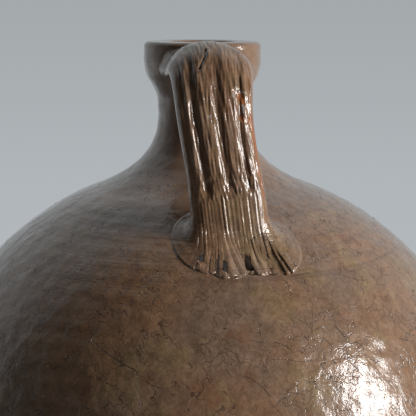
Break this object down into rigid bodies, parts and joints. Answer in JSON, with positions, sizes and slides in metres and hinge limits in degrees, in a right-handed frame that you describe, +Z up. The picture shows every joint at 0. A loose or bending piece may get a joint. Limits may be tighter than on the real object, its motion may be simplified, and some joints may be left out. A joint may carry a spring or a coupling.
{
  "type": "stoneware jug",
  "caption": "Large round-bellied glazed stoneware jug with a short narrow neck, a thick mouth collar and a fluted strap handle at one side.",
  "frame": {"origin": "centre of the foot, on the surface that the jug stands on", "axes": "+Z up along the axis of the wheel, -Y towards the handle, +X to the right for someone who faces the handle"},
  "size_m": [0.296, 0.296, 0.3915],
  "materials": {
    "belly_glaze": "glossy crazed honey-brown glaze",
    "neck_glaze": "glossy darker brown glaze, thick at the collar",
    "handle_glaze": "glossy brown glaze with chips and pits",
    "bare_clay": "dry unglazed stoneware"
  },
  "bodies": {
    "root": {"floor_disc": "bare_clay", "lower_body": "belly_glaze", "upper_body": "belly_glaze", "neck": "neck_glaze", "mouth_collar": "neck_glaze", "strap_handle": "handle_glaze", "upper_handle_coil": "handle_glaze", "lower_handle_coil": "belly_glaze", "belly_joint_coil": "bare_clay", "floor_joint_coil": "bare_clay"}
  },
  "joints": []
}
